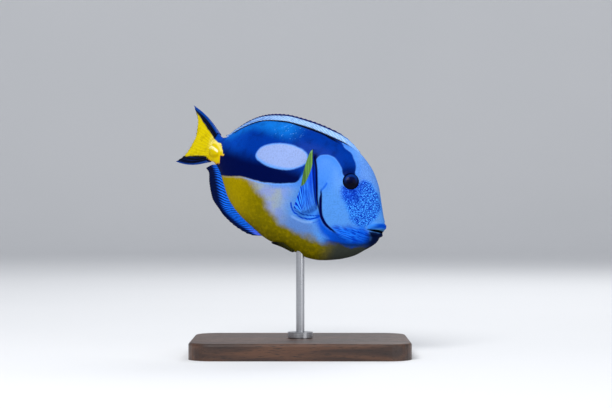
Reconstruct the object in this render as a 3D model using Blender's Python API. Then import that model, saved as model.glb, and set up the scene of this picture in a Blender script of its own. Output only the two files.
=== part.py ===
"""A life-size regal blue tang, head down and tail turned aside, held over a base by one rod.

The fish is drawn straight first. There s runs from the upper lip back to the tail, t up from the
line of the tail's root and w out to the fish's left, all as shares of its length. The function
place() then bends the midline, tips the head down and sets the belly over the stand.
Lengths outside those shares are metres, +X is ahead of the fish, and +Z is up.
"""
import math

import bmesh
import bpy
from mathutils import Matrix, Vector

# Driving sizes
LENGTH = 0.110
GAP = 0.0003
NOSE_DOWN = math.radians(21)
TAIL_TURN = math.radians(54)
TURN_FROM = 0.12
TURN_TO = 0.95
BELLY_HEIGHT = 0.048
CLEAR = GAP / LENGTH

# Outlines of the straight fish, as (s, share of the length)
BACK = [(0.0, -0.050), (0.02, -0.030), (0.05, 0.019), (0.10, 0.104), (0.16, 0.166), (0.24, 0.209),
        (0.33, 0.223), (0.46, 0.229), (0.57, 0.224), (0.67, 0.205), (0.74, 0.182), (0.80, 0.148),
        (0.86, 0.104), (0.905, 0.067), (0.935, 0.060), (0.975, 0.071), (1.02, 0.090)]
BELLY = [(0.0, -0.085), (0.012, -0.120), (0.02, -0.138), (0.036, -0.161), (0.053, -0.181),
         (0.086, -0.219), (0.132, -0.252), (0.164, -0.269), (0.205, -0.287), (0.24, -0.298),
         (0.28, -0.303), (0.33, -0.299), (0.40, -0.294), (0.455, -0.294), (0.50, -0.287),
         (0.57, -0.265), (0.62, -0.249), (0.67, -0.229), (0.74, -0.190), (0.80, -0.138),
         (0.86, -0.088), (0.905, -0.066), (0.94, -0.058), (0.975, -0.064), (1.02, -0.076)]
WIDEST_LEVEL = [(0.0, -0.066), (0.06, -0.088), (0.13, -0.075), (0.27, -0.030), (0.5, -0.008),
                (1.02, -0.002)]
HALF_WIDTH = [(0.0, 0.018), (0.03, 0.034), (0.06, 0.044), (0.12, 0.058), (0.20, 0.071),
              (0.30, 0.081), (0.40, 0.085), (0.50, 0.083), (0.60, 0.075), (0.70, 0.062),
              (0.80, 0.044), (0.90, 0.027), (1.02, 0.016)]
KEEL_SHARPNESS = [(0.0, 0.9), (0.15, 1.0), (0.40, 1.2), (1.02, 1.1)]
SNOUT = 0.006
NOSE_ROUNDING = 0.014

# Head, as shares of the length, with the eye and nostril radii in metres. A lip or slit is its
# height, its level against the mouth and its width. The cover and shoulder are a height and a reach.
GILL_LINE = [(-0.27, 0.115), (-0.215, 0.145), (-0.165, 0.185), (-0.142, 0.245), (-0.112, 0.273),
             (-0.056, 0.293), (-0.004, 0.309), (0.035, 0.302), (0.12, 0.276), (0.25, 0.203)]
BODY_SLIT = 1.2 * CLEAR
GILL_BOTTOM = (-0.23, -0.20)
GILL_TOP = (0.05, 0.03)
COVER_LIFT = (0.006, 0.03)
SHOULDER_DIP = (0.004, 0.02)
MOUTH_CORNER = 0.078
MOUTH_FADE = 0.022
UPPER_LIP = (0.0055, 0.015, 0.009)
LOWER_LIP = (0.0055, -0.013, 0.008)
MOUTH_SLIT = (-0.010, 0.0, 0.0035)
EYE_PLACE = (0.212, 0.074)
EYE_RADII = (0.0041, 0.0044, 0.0026)
EYE_SUNK = 0.0011
NOSTRILS = [(0.150, 0.076), (0.164, 0.079)]
NOSTRIL_RADIUS = 0.00055

# Tail stem and its folding spine
TAIL_CUT = 0.905
STEM_END = 0.972
BLADE_ROOT = 0.964
BLADE_LENGTH = 0.0056
BLADE_RADIUS = 0.0008
BLADE_FLATNESS = 0.6

# Fins: where each begins and ends on its root, how far its rays lean back, and how high it stands
DORSAL_ROOT = (0.215, 0.895)
DORSAL_LEAN = [(0.0, 0.012), (0.12, 0.070), (0.5, 0.110), (0.9, 0.050), (1.0, 0.025)]
DORSAL_HEIGHT = [(0.225, 0.004), (0.26, 0.014), (0.30, 0.025), (0.36, 0.033), (0.45, 0.034),
                 (0.60, 0.034), (0.70, 0.031), (0.80, 0.023), (0.86, 0.017), (0.92, 0.011)]
DORSAL_RAYS = 28
ANAL_ROOT = (0.497, 0.895)
ANAL_LEAN = [(0.0, 0.055), (0.05, 0.080), (0.1, 0.105), (0.2, 0.140), (0.31, 0.160), (0.45, 0.152),
             (0.65, 0.130), (0.85, 0.102), (1.0, 0.080)]
ANAL_HEIGHT = [(0.52, 0.008), (0.572, 0.036), (0.625, 0.048), (0.675, 0.058), (0.732, 0.071),
               (0.774, 0.086), (0.809, 0.102), (0.848, 0.114), (0.876, 0.108), (0.899, 0.093),
               (0.941, 0.053), (0.975, 0.032)]
ANAL_RAYS = 21
TAIL_FIN_ROOT = (0.072, -0.065)
TAIL_FIN_EDGE_S = [(0.0, 1.273), (0.07, 1.247), (0.17, 1.207), (0.25, 1.184), (0.39, 1.160),
                   (0.50, 1.149), (0.63, 1.162), (0.74, 1.175), (0.86, 1.196), (1.0, 1.238)]
TAIL_FIN_EDGE_T = (0.157, -0.119)
TAIL_FIN_SWELL = (0.013, -0.016)
TAIL_FIN_RAYS = 16
PECTORAL_BASE = [(0.0, 0.303, -0.083), (0.5, 0.322, -0.110), (1.0, 0.352, -0.124)]
PECTORAL_TIP = [(0.0, 0.396, 0.138), (0.10, 0.403, 0.123), (0.5, 0.395, 0.040),
                (0.75, 0.383, -0.028), (1.0, 0.381, -0.115)]
PECTORAL_RAYS = 16
PECTORAL_RISE = [(0.0, CLEAR), (0.012, 0.010), (0.05, 0.0165), (0.16, 0.0215), (0.42, 0.026),
                 (0.72, 0.029), (1.0, 0.032)]
PELVIC_S = (0.340, 0.448)
PELVIC_INNER = -84
PELVIC_OUTER = (-76, -69, -80)
PELVIC_RAYS = 4
PELVIC_RISE = [(0.0, CLEAR), (0.008, 0.0055), (0.04, 0.0068), (0.3, 0.0068), (0.7, 0.0068),
               (1.0, 0.0085)]
FIN_ROOT_HALF = 0.0008
PELVIC_ROOT_HALF = 0.0004
TAIL_ROOT_HALF = 0.0013
FIN_EDGE_HALF = 0.00026
RAY_HEIGHT = 0.0002
RAY_FADE = 0.4
RAY_SHARE = 0.28
THINNING = 0.6
RIDGE_FIN_ROWS = (0.0, 0.3, 0.65, 1.0)
TAIL_FIN_ROWS = (0.0, 0.12, 0.4, 0.7, 1.0)

# Stand
BASE_SIZE = (0.104, 0.076, 0.008)
BASE_CORNER = 0.012
BASE_EASING = 0.0012
COLLAR_RADIUS = 0.006
COLLAR_HEIGHT = 0.003
ROD_RADIUS = 0.002
ROD_AT = 0.31
ROD_INSIDE = 0.007

# Fineness of the meshes
SIDE_STEPS = 22
HEAD_RINGS = 20
TORSO_RINGS = 20
STEM_RINGS = 4
ROUND_STEPS = 24
EYE_RINGS = 12
NOSTRIL_RINGS = 6
NOSTRIL_STEPS = 10
MOUTH_CROWDING = 1.5
SNOUT_CROWDING = 2
TAIL_CROWDING = 1.4
CORNER_STEPS = 8
EASING_STEPS = 3
BLADE_STEPS = 8
SHARP_FROM = math.radians(40)
STEP = 0.001
ANGLE_STEP = 0.4
SHARE_STEP = 0.02
MEETING_RANGE = (0.02, 0.5)
HALVINGS = 30
SURFACE_STEPS = (0.004, 2)

COLOURS = {
    "head": ((0.10, 0.33, 0.85), 0.35),
    "torso": ((0.01, 0.08, 0.42), 0.35),
    "tail_stem": ((0.85, 0.68, 0.02), 0.35),
    "eye": ((0.004, 0.006, 0.02), 0.1),
    "dorsal_fin": ((0.25, 0.50, 0.85), 0.4),
    "anal_fin": ((0.01, 0.12, 0.62), 0.4),
    "tail_fin": ((0.90, 0.72, 0.02), 0.4),
    "pectoral_fin": ((0.05, 0.25, 0.80), 0.4),
    "pelvic_fin": ((0.20, 0.24, 0.10), 0.4),
    "tail_blade": ((0.85, 0.55, 0.12), 0.35),
    "stand_base": ((0.045, 0.022, 0.012), 0.45),
    "stand_collar": ((0.55, 0.55, 0.56), 0.3),
    "stand_rod": ((0.55, 0.55, 0.56), 0.3),
}
METALS = {"stand_collar", "stand_rod"}


def profile(points, at):
    """A smooth line through a few (place, value) points that never swings past them."""
    places = [point[0] for point in points]
    values = [point[1] for point in points]
    if at <= places[0]:
        return values[0]
    if at >= places[-1]:
        return values[-1]
    steps = [after - before for before, after in zip(places, places[1:])]
    rises = [(after - before) / step for before, after, step in zip(values, values[1:], steps)]
    slopes = [rises[0]]
    for before, after in zip(rises, rises[1:]):
        slopes.append(0.0 if before * after <= 0 else 2 * before * after / (before + after))
    slopes.append(rises[-1])
    index = max(i for i in range(len(steps)) if places[i] <= at)
    share = (at - places[index]) / steps[index]
    ends = values[index] * (1 + 2 * share) * (1 - share) ** 2
    ends += values[index + 1] * share ** 2 * (3 - 2 * share)
    leaning = slopes[index] * share * (1 - share) ** 2 - slopes[index + 1] * share ** 2 * (1 - share)
    return ends + steps[index] * leaning


def mix(start, end, share):
    return start + (end - start) * share


def smooth_step(start, end, at):
    share = min(max((at - start) / (end - start), 0.0), 1.0)
    return share * share * (3 - 2 * share)


def hump(distance, width):
    return math.exp(-(distance / width) ** 2)


def bend(s, t, w):
    """The straight fish's point with the midline turned along an arc and the head tipped down."""
    radius = (TURN_TO - TURN_FROM) / TAIL_TURN
    turn = TAIL_TURN * min(max((s - TURN_FROM) / (TURN_TO - TURN_FROM), 0.0), 1.0)
    past = max(s - TURN_TO, 0.0)
    back = min(s, TURN_FROM) + radius * math.sin(turn) + past * math.cos(TAIL_TURN)
    aside = radius * (1 - math.cos(turn)) + past * math.sin(TAIL_TURN)
    ahead = w * math.sin(turn) - back
    return LENGTH * Vector((ahead * math.cos(NOSE_DOWN) + t * math.sin(NOSE_DOWN),
                            aside + w * math.cos(turn),
                            t * math.cos(NOSE_DOWN) - ahead * math.sin(NOSE_DOWN)))


def place(point):
    """The point's place in the world, with the belly's keel at its height over the base's middle."""
    keel = bend(ROD_AT, profile(BELLY, ROD_AT), 0.0)
    return bend(*point) - keel + Vector((0, 0, BELLY_HEIGHT))


def section(s):
    """The body's section at s: its widest level, height above and below it, half width, sharpness."""
    rounding = math.sqrt(1 - (1 - min(max(s - SNOUT, 0.0) / NOSE_ROUNDING, 1.0)) ** 2)
    level = profile(WIDEST_LEVEL, s)
    above = (profile(BACK, s) - level) * rounding
    below = (level - profile(BELLY, s)) * rounding
    return level, above, below, profile(HALF_WIDTH, s) * rounding, profile(KEEL_SHARPNESS, s)


def bare_skin(s, angle):
    """The plain body's surface, angle degrees round from the left: 90 is the back, 180 the right."""
    level, above, below, half, sharpness = section(s)
    height = math.sin(math.radians(angle))
    reach = math.cos(math.radians(angle))
    out = math.copysign(abs(reach) ** sharpness, reach)
    return Vector((s, level + (above if height > 0 else below) * height, half * out))


def skin_normal(s, angle):
    """The way out of the plain body's surface."""
    near = max(s, SNOUT + 1.5 * STEP)
    along = bare_skin(near + STEP, angle) - bare_skin(near - STEP, angle)
    around = bare_skin(near, angle + ANGLE_STEP) - bare_skin(near, angle - ANGLE_STEP)
    return along.cross(around).normalized()


def angle_at(s, t, side):
    """The angle of the surface at level t, on the left for side 1 and on the right for side -1."""
    level, above, below, _, _ = section(s)
    share = (t - level) / (above if t > level else below)
    angle = math.degrees(math.asin(min(max(share, -1.0), 1.0)))
    return angle if side > 0 else 180 - angle


def gill_line(t):
    """Where the gill cover ends at level t, and the head's line with the shoulder above it."""
    return profile(GILL_LINE, t)


def behind_gills(t):
    """The shoulder's front edge, one gap behind the gill cover's, measured across the slit."""
    slope = (gill_line(t + STEP) - gill_line(t - STEP)) / (2 * STEP)
    return gill_line(t) + BODY_SLIT * math.hypot(1, slope)


def gill_opening(t):
    """1 beside the gill opening, and 0 above and below it."""
    return smooth_step(*GILL_BOTTOM, t) * smooth_step(*GILL_TOP, t)


def lips(s, t):
    """How far the lips stand out, with the mouth's line sunk between them."""
    above_mouth = t - profile(WIDEST_LEVEL, s)
    fade = smooth_step(MOUTH_CORNER, MOUTH_CORNER - MOUTH_FADE, s)
    forms = [height * hump(above_mouth - level, width)
             for height, level, width in (UPPER_LIP, LOWER_LIP, MOUTH_SLIT)]
    return fade * sum(forms)


def head_relief(s, t):
    lift, reach = COVER_LIFT
    return lips(s, t) + lift * gill_opening(t) * math.exp((s - gill_line(t)) / reach)


def torso_relief(s, t):
    dip, reach = SHOULDER_DIP
    return -dip * gill_opening(t) * math.exp((gill_line(t) - s) / reach)


def no_relief(s, t):
    return 0.0


def skin(s, angle, relief=no_relief, lift=0.0):
    """A point on the body's surface, with its relief, or raised off it by lift."""
    point = bare_skin(s, angle)
    return point + skin_normal(s, angle) * (relief(point.x, point.y) + lift)


def meeting(line, angle):
    """Where the body's surface at this angle meets a line given as s for each level t."""
    low, high = MEETING_RANGE
    for _ in range(HALVINGS):
        middle = (low + high) / 2
        if middle < line(bare_skin(middle, angle).y):
            low = middle
        else:
            high = middle
    return (low + high) / 2


def material(kind):
    colour, roughness = COLOURS[kind]
    made = bpy.data.materials.get(kind)
    if made is None:
        made = bpy.data.materials.new(kind)
        made.use_nodes = True
        shader = made.node_tree.nodes["Principled BSDF"]
        shader.inputs["Base Color"].default_value = (*colour, 1)
        shader.inputs["Roughness"].default_value = roughness
        shader.inputs["Metallic"].default_value = 1.0 if kind in METALS else 0.0
    return made


def finish(made, kind, collection):
    """Gives an object its finish and its collection."""
    for other in list(made.users_collection):
        other.objects.unlink(made)
    collection.objects.link(made)
    made.data.materials.clear()
    made.data.materials.append(material(kind))
    made.data.shade_smooth()
    made.data.set_sharp_from_angle(angle=SHARP_FROM)
    return made


def mesh_object(name, points, faces):
    """A mesh of the straight fish's points, set in its place with its faces turned out."""
    mesh = bpy.data.meshes.new(name)
    mesh.from_pydata([place(point) for point in points], [], faces)
    turned = bmesh.new()
    turned.from_mesh(mesh)
    bmesh.ops.recalc_face_normals(turned, faces=turned.faces)
    turned.to_mesh(mesh)
    turned.free()
    return bpy.data.objects.new(name, mesh)


def around_angles():
    """Angles once round the body, closest together beside the mouth's line, from keel to keel."""
    half = SIDE_STEPS // 2
    shares = [step / half for step in range(-half, half + 1)]
    left = [90 * math.copysign(abs(share) ** MOUTH_CROWDING, share) for share in shares]
    return left + [180 - angle for angle in reversed(left[1:-1])]


def cap_faces(ring):
    """Faces across one closed ring, from each left point to its fellow on the right."""
    count = len(ring)
    half = count // 2
    faces = [(ring[0], ring[1], ring[-1]), (ring[half - 1], ring[half], ring[half + 1])]
    for step in range(1, half - 1):
        faces.append((ring[step], ring[step + 1], ring[count - step - 1], ring[count - step]))
    return faces


def body_length(name, start, end, spacing, relief):
    """A length of the body between two lines of s by angle, with rings at the shares in spacing."""
    angles = around_angles()
    count = len(angles)
    points = []
    for share in spacing:
        for angle in angles:
            points.append(skin(mix(start(angle), end(angle), share), angle, relief))
    rings = [list(range(row * count, (row + 1) * count)) for row in range(len(spacing))]
    faces = []
    for front, back in zip(rings, rings[1:]):
        for step in range(count):
            after = (step + 1) % count
            faces.append((front[step], front[after], back[after], back[step]))
    if start(0) == SNOUT:
        level = profile(WIDEST_LEVEL, SNOUT)
        points.append(Vector((SNOUT - relief(SNOUT, level), level, 0)))
        tip = len(points) - 1
        faces += [(tip, rings[0][(step + 1) % count], rings[0][step]) for step in range(count)]
    else:
        faces += cap_faces(rings[0])
    faces += cap_faces(rings[-1])
    return mesh_object(name, points, faces)


def plate(name, rings, roots=None):
    """A thin closed solid from rings of (left, right) pairs, root first, split alike on both faces."""
    rows = len(rings[0])
    points = [point for ring in rings for pair in ring for point in pair]

    def at(ring, row, side):
        return 2 * (ring * rows + row) + side

    faces = []
    for ring in range(len(rings) - 1):
        for row in range(rows - 1):
            for side in (0, 1):
                near, far = at(ring, row, side), at(ring + 1, row, side)
                near_up, far_up = at(ring, row + 1, side), at(ring + 1, row + 1, side)
                faces += [(near, far, far_up), (near, far_up, near_up)]
        edge = [at(ring, rows - 1, 0), at(ring, rows - 1, 1), at(ring + 1, rows - 1, 1)]
        faces += [tuple(edge), (edge[0], edge[2], at(ring + 1, rows - 1, 0))]
    for ring in (0, len(rings) - 1):
        for row in range(rows - 1):
            low_left, low_right = at(ring, row, 0), at(ring, row, 1)
            high_left, high_right = at(ring, row + 1, 0), at(ring, row + 1, 1)
            faces += [(low_left, low_right, high_right), (low_left, high_right, high_left)]
    if roots is None:
        for ring in range(len(rings) - 1):
            near, far = at(ring, 0, 0), at(ring + 1, 0, 0)
            faces += [(near, near + 1, far + 1), (near, far + 1, far)]
        return mesh_object(name, points, faces)
    middle = len(points)
    points += roots
    for ring in range(len(rings) - 1):
        near, far = middle + ring, middle + ring + 1
        for side in (0, 1):
            faces += [(near, far, at(ring + 1, 0, side)), (near, at(ring + 1, 0, side), at(ring, 0, side))]
    for ring in (0, len(rings) - 1):
        faces.append((middle + ring, at(ring, 0, 0), at(ring, 0, 1)))
    return mesh_object(name, points, faces)


def ray_columns(rays):
    """Columns across a fin as (share, ridge): each ray's two feet and its crest between them."""
    columns = []
    for ray in range(rays):
        middle = (ray + 0.5) / rays
        reach = RAY_SHARE / rays
        columns += [(middle - reach, 0.0), (middle, 1.0), (middle + reach, 0.0)]
    return [(0.0, 0.0)] + columns + [(1.0, 0.0)]


def fin_half(root_half, along, ridge):
    """Half of a fin's thickness, as a share of the length."""
    membrane = mix(root_half, FIN_EDGE_HALF, along ** THINNING)
    return (membrane + ridge * RAY_HEIGHT * (1 - RAY_FADE * along)) / LENGTH


def crest_level(s, w, up):
    """The level of the back for up 1, or of the belly for up -1, at w off the middle."""
    level, above, below, half, sharpness = section(s)
    share = math.sqrt(1 - (abs(w) / half) ** (2 / sharpness))
    return level + (above if up > 0 else -below) * share


def middle_fin(name, root, lean, height, rays, up):
    """A fin along the back or the belly, its rays leaning back over it."""
    rings = []
    roots = []
    for share, ridge in ray_columns(rays):
        foot = mix(*root, share)
        tip = foot + profile(lean, share)
        stand = profile(height, tip)
        ring = []
        for along in RIDGE_FIN_ROWS:
            s = mix(foot, tip, along)
            half = fin_half(FIN_ROOT_HALF, along, ridge)
            t = crest_level(s, half if along == 0 else 0.0, up) + up * (CLEAR + stand * along)
            ring.append((Vector((s, t, half)), Vector((s, t, -half))))
        rings.append(ring)
        roots.append(Vector((foot, crest_level(foot, 0.0, up) + up * CLEAR, 0)))
    return plate(name, rings, roots)


def tail_fin(name):
    """The tail fin: rays fanned out from the flat end of the stem to two unequal lobes."""
    rings = []
    for share, ridge in ray_columns(TAIL_FIN_RAYS):
        root_t = mix(*TAIL_FIN_ROOT, share)
        tip_t = mix(*TAIL_FIN_EDGE_T, share)
        tip_s = profile(TAIL_FIN_EDGE_S, share)
        ring = []
        for along in TAIL_FIN_ROWS:
            half = fin_half(TAIL_ROOT_HALF, along, ridge)
            s = mix(STEM_END + CLEAR, tip_s, along)
            swell = mix(*TAIL_FIN_SWELL, share) * math.sin(math.pi * along)
            t = mix(root_t, tip_t, along) + swell
            ring.append((Vector((s, t, half)), Vector((s, t, -half))))
        rings.append(ring)
    return plate(name, rings)


def pectoral_path(side):
    """The pectoral fin's lie on the flank: a ray's share and a place along it to s and angle."""
    def path(share, along):
        s = mix(profile([row[:2] for row in PECTORAL_BASE], share),
                profile([row[:2] for row in PECTORAL_TIP], share), along)
        t = mix(profile([row[::2] for row in PECTORAL_BASE], share),
                profile([row[::2] for row in PECTORAL_TIP], share), along)
        return s, angle_at(s, t, side)
    return path


def pelvic_path(side):
    """The pelvic fin's lie beside the keel, from its root back to its tip."""
    def path(share, along):
        root, middle, tip = PELVIC_OUTER
        outer = mix(root, middle, min(2 * along, 1)) + (tip - middle) * max(2 * along - 1, 0)
        angle = mix(PELVIC_INNER, outer, share)
        return mix(*PELVIC_S, along), angle if side > 0 else 180 - angle
    return path


def paired_fin(name, path, rise, rays, root_half):
    """A fin that leaves the body square to it and turns to lie back over it."""
    def middle(share, along, lift):
        s, angle = path(share, along)
        return skin(s, angle, lift=lift)

    rings = []
    for share, ridge in ray_columns(rays):
        ring = []
        for row, (along, lift) in enumerate(rise):
            here = middle(share, along, lift)
            before = middle(share, *rise[max(row - 1, 0)])
            after = middle(share, *rise[min(row + 1, len(rise) - 1)])
            across = middle(min(share + SHARE_STEP, 1), along, lift)
            across = across - middle(max(share - SHARE_STEP, 0), along, lift)
            normal = across.cross(after - before).normalized()
            half = fin_half(root_half, along, ridge) * normal
            ring.append((here + half, here - half))
        rings.append(ring)
    return plate(name, rings)


def surface_matrix(s, angle, depth):
    """A matrix at the skin, its Z out of the skin and its X along the fish, depth below the skin."""
    step, turn = SURFACE_STEPS
    origin = place(skin(s, angle))
    along = place(skin(s + step, angle)) - place(skin(s - step, angle))
    around = place(skin(s, angle + turn)) - place(skin(s, angle - turn))
    out = along.cross(around).normalized()
    along = (along - out * along.dot(out)).normalized()
    facing = Matrix((along, out.cross(along), out)).transposed().to_4x4()
    return Matrix.Translation(origin - out * depth) @ facing


def ball(name, where, radii, rings, segments):
    """A sphere primitive, stretched to three radii and set by a matrix."""
    bpy.ops.mesh.primitive_uv_sphere_add(segments=segments, ring_count=rings, radius=1)
    made = bpy.context.object
    made.name = name
    made.data.transform(where @ Matrix.Diagonal((*radii, 1)))
    return made


def turned(name, radius, low, high):
    """An upright round bar between two heights."""
    bpy.ops.mesh.primitive_cylinder_add(vertices=ROUND_STEPS, radius=radius, depth=high - low)
    made = bpy.context.object
    made.name = name
    made.data.transform(Matrix.Translation((0, 0, (low + high) / 2)))
    return made


def cut(target, cutters):
    """Takes the cutters' shapes out of the target."""
    for other in cutters.objects:
        other.hide_render = True
        other.display_type = "WIRE"
    modifier = target.modifiers.new("cut", "BOOLEAN")
    modifier.operation = "DIFFERENCE"
    modifier.operand_type = "COLLECTION"
    modifier.collection = cutters
    modifier.solver = "EXACT"


def move_to(made, collection):
    for other in list(made.users_collection):
        other.objects.unlink(made)
    collection.objects.link(made)


def new_collection(name):
    made = bpy.data.collections.new(name)
    bpy.context.scene.collection.children.link(made)
    return made


def eye_matrix(side):
    s, t = EYE_PLACE
    return surface_matrix(s, angle_at(s, t, side), EYE_SUNK)


def build_head(collection):
    made = body_length("head", lambda angle: SNOUT, lambda angle: meeting(gill_line, angle),
                       [(ring / HEAD_RINGS) ** SNOUT_CROWDING for ring in range(1, HEAD_RINGS + 1)],
                       head_relief)
    finish(made, "head", collection)
    cutters = new_collection("head_cutters")
    socket = [radius + GAP for radius in EYE_RADII]
    for side, word in ((1, "left"), (-1, "right")):
        move_to(ball("socket_" + word, eye_matrix(side), socket, EYE_RINGS, ROUND_STEPS), cutters)
        for number, (s, t) in enumerate(NOSTRILS):
            where = surface_matrix(s, angle_at(s, t, side), 0.0)
            pit = [NOSTRIL_RADIUS] * 3
            made_pit = ball(f"nostril_{word}_{number}", where, pit, NOSTRIL_RINGS, NOSTRIL_STEPS)
            move_to(made_pit, cutters)
    cut(made, cutters)


def build_eyes(collection):
    for side, word in ((1, "left"), (-1, "right")):
        made = ball("eye_" + word, eye_matrix(side), EYE_RADII, EYE_RINGS, ROUND_STEPS)
        finish(made, "eye", collection)


def build_torso(collection):
    made = body_length("torso", lambda angle: meeting(behind_gills, angle), lambda angle: TAIL_CUT,
                       [1 - (1 - ring / TORSO_RINGS) ** TAIL_CROWDING for ring in range(TORSO_RINGS + 1)],
                       torso_relief)
    finish(made, "torso", collection)
    cutters = new_collection("torso_cutters")
    socket = turned("rod_socket", ROD_RADIUS + GAP, 0.0, BELLY_HEIGHT + ROD_INSIDE + GAP)
    move_to(socket, cutters)
    cut(made, cutters)


def build_tail_stem(collection):
    made = body_length("tail_stem", lambda angle: TAIL_CUT + BODY_SLIT, lambda angle: STEM_END,
                       [ring / STEM_RINGS for ring in range(STEM_RINGS + 1)], no_relief)
    finish(made, "tail_stem", collection)
    for side, word in ((1, "left"), (-1, "right")):
        name = "tail_blade_" + word
        bpy.ops.mesh.primitive_cone_add(vertices=BLADE_STEPS, radius1=BLADE_RADIUS,
                                        radius2=BLADE_RADIUS / 5, depth=BLADE_LENGTH)
        blade = bpy.context.object
        blade.name = name
        where = surface_matrix(BLADE_ROOT - BLADE_LENGTH / LENGTH / 2, 0 if side > 0 else 180,
                               -GAP - BLADE_FLATNESS * BLADE_RADIUS)
        lying = Matrix.Rotation(math.radians(-90), 4, "Y")
        flat = Matrix.Diagonal((1, 1, BLADE_FLATNESS, 1))
        blade.data.transform(where @ flat @ lying)
        finish(blade, "tail_blade", collection)


def build_fins(collection):
    finish(middle_fin("dorsal_fin", DORSAL_ROOT, DORSAL_LEAN, DORSAL_HEIGHT, DORSAL_RAYS, 1),
           "dorsal_fin", collection)
    finish(middle_fin("anal_fin", ANAL_ROOT, ANAL_LEAN, ANAL_HEIGHT, ANAL_RAYS, -1),
           "anal_fin", collection)
    finish(tail_fin("tail_fin"), "tail_fin", collection)
    for side, word in ((1, "left"), (-1, "right")):
        pectoral = paired_fin("pectoral_fin_" + word, pectoral_path(side), PECTORAL_RISE,
                              PECTORAL_RAYS, FIN_ROOT_HALF)
        pelvic = paired_fin("pelvic_fin_" + word, pelvic_path(side), PELVIC_RISE,
                            PELVIC_RAYS, PELVIC_ROOT_HALF)
        finish(pectoral, "pectoral_fin", collection)
        finish(pelvic, "pelvic_fin", collection)


def build_stand(collection):
    width, depth, thickness = BASE_SIZE
    bpy.ops.mesh.primitive_cube_add(size=1)
    base = bpy.context.object
    base.name = "stand_base"
    base.data.transform(Matrix.Translation((0, 0, thickness / 2)) @ Matrix.Diagonal((*BASE_SIZE, 1)))
    edges = bmesh.new()
    edges.from_mesh(base.data)
    upright = [edge for edge in edges.edges if abs(edge.verts[0].co.z - edge.verts[1].co.z) > GAP]
    bmesh.ops.bevel(edges, geom=upright, offset=BASE_CORNER, segments=CORNER_STEPS, affect="EDGES",
                    profile=0.5)
    top = [edge for edge in edges.edges if min(vert.co.z for vert in edge.verts) > thickness - GAP]
    bmesh.ops.bevel(edges, geom=top, offset=BASE_EASING, segments=EASING_STEPS, affect="EDGES",
                    profile=0.5)
    edges.to_mesh(base.data)
    edges.free()
    finish(base, "stand_base", collection)
    cutters = new_collection("stand_cutters")
    move_to(turned("rod_hole", ROD_RADIUS + GAP, thickness / 2 - GAP, 2 * thickness), cutters)
    cut(base, cutters)
    collar = turned("stand_collar", COLLAR_RADIUS, thickness + GAP, thickness + COLLAR_HEIGHT)
    finish(collar, "stand_collar", collection)
    cut(collar, cutters)
    rod = turned("stand_rod", ROD_RADIUS, thickness / 2, BELLY_HEIGHT + ROD_INSIDE)
    finish(rod, "stand_rod", collection)


def main():
    for other in list(bpy.data.objects):
        bpy.data.objects.remove(other)
    fish = new_collection("regal_blue_tang")
    build_head(fish)
    build_eyes(fish)
    build_torso(fish)
    build_tail_stem(fish)
    build_fins(fish)
    build_stand(fish)


main()
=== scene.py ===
# %% [markdown]
# # A life-size regal blue tang over a small stand
#
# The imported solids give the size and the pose. Here the fish gets one unbroken skin, finer fins,
# moist eyes, its markings, and a walnut and steel stand. The solids of the flesh stay hidden under it.

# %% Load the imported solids
import math
from functools import partial

import bpy
import numpy as np
from mathutils import Matrix, Vector


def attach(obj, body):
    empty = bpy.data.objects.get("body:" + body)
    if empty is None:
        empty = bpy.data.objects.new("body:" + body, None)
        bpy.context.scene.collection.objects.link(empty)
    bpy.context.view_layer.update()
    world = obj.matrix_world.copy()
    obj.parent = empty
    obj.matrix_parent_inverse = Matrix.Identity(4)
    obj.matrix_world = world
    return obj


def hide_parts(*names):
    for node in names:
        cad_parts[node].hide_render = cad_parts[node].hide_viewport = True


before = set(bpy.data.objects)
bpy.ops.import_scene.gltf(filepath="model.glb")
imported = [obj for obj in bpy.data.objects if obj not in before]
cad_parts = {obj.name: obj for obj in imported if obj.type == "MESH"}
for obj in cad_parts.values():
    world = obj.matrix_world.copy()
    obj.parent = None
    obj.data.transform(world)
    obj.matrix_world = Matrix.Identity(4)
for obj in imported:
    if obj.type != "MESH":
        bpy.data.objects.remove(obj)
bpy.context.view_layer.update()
print("solids:", ", ".join(sorted(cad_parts)))

# %% [markdown]
# ## The fish's own measures
#
# A taxidermist first takes the outline and a few girths. The numbers that shaped the solids are
# repeated here, so the skin lies on them. The fish is drawn straight first: s runs from lip to tail, t
# up and w to its left, as shares of the length, and tables are in thousandths. Bending comes last, as
# a straight fish is easier to read.

# %% Sizes and outlines of the straight fish
LENGTH = 0.11
NOSE_DOWN = math.radians(21)
TAIL_TURN = math.radians(54)
TURN_FROM = 0.12
TURN_TO = 0.95
ROD_AT = 0.31
LIP_LEVEL = -0.065
BELLY_HEIGHT = 0.048
BACK = [(0, -50), (20, -30), (50, 19), (100, 104), (160, 166), (240, 209), (330, 223), (460, 229),
        (570, 224), (670, 205), (740, 182), (800, 148), (860, 104), (905, 67), (935, 60), (975, 71),
        (1020, 90)]
BELLY = [(0, -85), (12, -120), (20, -138), (36, -161), (53, -181), (86, -219), (132, -252), (164, -269),
         (205, -287), (240, -298), (280, -303), (330, -299), (400, -294), (455, -294), (500, -287),
         (570, -265), (620, -249), (670, -229), (740, -190), (800, -138), (860, -88), (905, -66),
         (940, -58), (975, -64), (1020, -76)]
WIDEST_LEVEL = [(0, -66), (60, -88), (130, -75), (270, -30), (500, -8), (1020, -2)]
HALF_WIDTH = [(0, 18), (30, 34), (60, 44), (120, 58), (200, 71), (300, 81), (400, 85), (500, 83),
              (600, 75), (700, 62), (800, 44), (900, 27), (1020, 16)]
KEEL_SHARPNESS = [(0, 900), (150, 1000), (400, 1200), (1020, 1100)]
SNOUT = 0.006
NOSE_ROUNDING = 0.014
SKIN_END = 1


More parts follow.
